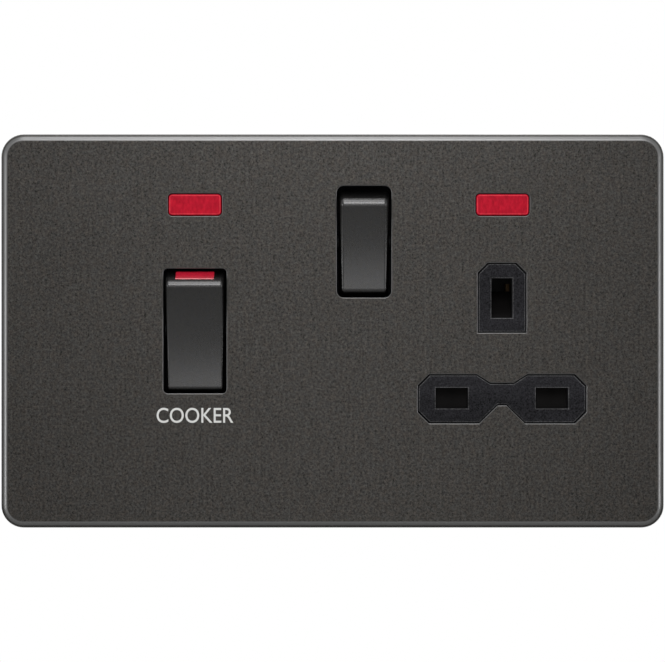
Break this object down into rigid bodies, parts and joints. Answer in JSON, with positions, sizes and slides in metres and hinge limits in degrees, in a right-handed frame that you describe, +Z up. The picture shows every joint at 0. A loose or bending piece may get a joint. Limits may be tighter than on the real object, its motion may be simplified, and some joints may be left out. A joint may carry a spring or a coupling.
{
  "type": "cooker control unit",
  "caption": "Flush wall plate in dark metal with a cooker isolator rocker, a switched mains socket and neon indicators, over a closed terminal housing.",
  "frame": {"origin": "centre of the face that meets the wall", "axes": "+X to the right seen from the front, +Z up, +Y into the wall and -Y out of the wall"},
  "size_m": [0.1472, 0.0337, 0.0874],
  "materials": {
    "plate_metal": "satin dark coated metal",
    "rocker_metal": "satin dark coated metal",
    "face_plastic": "fine matt black",
    "base_plastic": "matt black",
    "dolly_plastic": "matt black",
    "flag_plastic": "gloss red",
    "lens_plastic": "clear red",
    "lamp_glass": "clear",
    "holder_plastic": "matt natural",
    "resistor_body": "gloss tan",
    "shutter_plastic": "matt black",
    "plunger_plastic": "matt natural",
    "steel": "zinc plated",
    "brass": "plain"
  },
  "bodies": {
    "housing": {"assembly_screws": "steel", "base_moulding": "base_plastic", "earth_socket_contact": "brass", "earth_strap": "brass", "earth_terminal_first": "brass", "earth_terminal_second": "brass", "front_moulding": "face_plastic", "front_plate": "plate_metal", "line_feed_bar": "brass", "line_fulcrum": "brass", "line_in_terminal": "brass", "line_out_contact": "brass", "line_out_terminal": "brass", "line_socket_contact": "brass", "neon_holder_left": "holder_plastic", "neon_holder_right": "holder_plastic", "neon_lamp_left": "lamp_glass", "neon_lamp_right": "lamp_glass", "neon_lens_left": "lens_plastic", "neon_lens_right": "lens_plastic", "neon_resistor_left": "resistor_body", "neon_resistor_right": "resistor_body", "neutral_feed_bar": "brass", "neutral_fulcrum": "brass", "neutral_in_terminal": "brass", "neutral_out_contact": "brass", "neutral_out_terminal": "brass", "neutral_socket_contact": "brass", "plate_earth_spring": "brass", "shutter_spring": "steel", "socket_line_strip": "brass", "socket_switch_fulcrum": "brass", "terminal_screws": "steel"},
    "cooker_rocker": {"cooker_rocker_cap": "rocker_metal", "cooker_dolly": "dolly_plastic", "cooker_flag": "flag_plastic", "cooker_plunger_line": "plunger_plastic", "cooker_plunger_neutral": "plunger_plastic", "cooker_spring_line": "steel", "cooker_spring_neutral": "steel"},
    "socket_rocker": {"socket_rocker_cap": "rocker_metal", "socket_dolly": "dolly_plastic", "socket_plunger": "plunger_plastic", "socket_plunger_spring": "steel"},
    "cooker_bar_line": {"cooker_contact_line": "brass"},
    "cooker_bar_neutral": {"cooker_contact_neutral": "brass"},
    "socket_bar": {"socket_switch_contact": "brass"},
    "pin_shutter": {"shutter": "shutter_plastic"}
  },
  "joints": [
    {"name": "cooker_switch", "type": "hinge", "parent": "housing", "child": "cooker_rocker", "pos_m": [-0.0305, 0.002, 0], "axis": [-1, 0, 0], "range_deg": [0, 20]},
    {"name": "socket_switch", "type": "hinge", "parent": "housing", "child": "socket_rocker", "pos_m": [0.007, 0.002, 0.0198], "axis": [-1, 0, 0], "range_deg": [0, 20]},
    {"name": "cooker_line_bar_tilt", "type": "hinge", "parent": "housing", "child": "cooker_bar_line", "pos_m": [-0.034, 0.01735, 0], "axis": [1, 0, 0], "range_deg": [0, 12]},
    {"name": "cooker_neutral_bar_tilt", "type": "hinge", "parent": "housing", "child": "cooker_bar_neutral", "pos_m": [-0.027, 0.01735, 0], "axis": [1, 0, 0], "range_deg": [0, 12]},
    {"name": "socket_bar_tilt", "type": "hinge", "parent": "housing", "child": "socket_bar", "pos_m": [0.007, 0.01735, 0.0198], "axis": [1, 0, 0], "range_deg": [0, 12]},
    {"name": "shutter_slide", "type": "slide", "parent": "housing", "child": "pin_shutter", "axis": [0, 0, -1], "range_m": [0, 0.0056], "stiffness_N_per_m": 80, "springref_m": -0.003, "deforming": ["shutter_spring"]}
  ],
  "couplings": [
    {"joint": "cooker_line_bar_tilt", "follows": "cooker_switch", "ratio": 0.6},
    {"joint": "cooker_neutral_bar_tilt", "follows": "cooker_switch", "ratio": 0.6},
    {"joint": "socket_bar_tilt", "follows": "socket_switch", "ratio": 0.6}
  ]
}
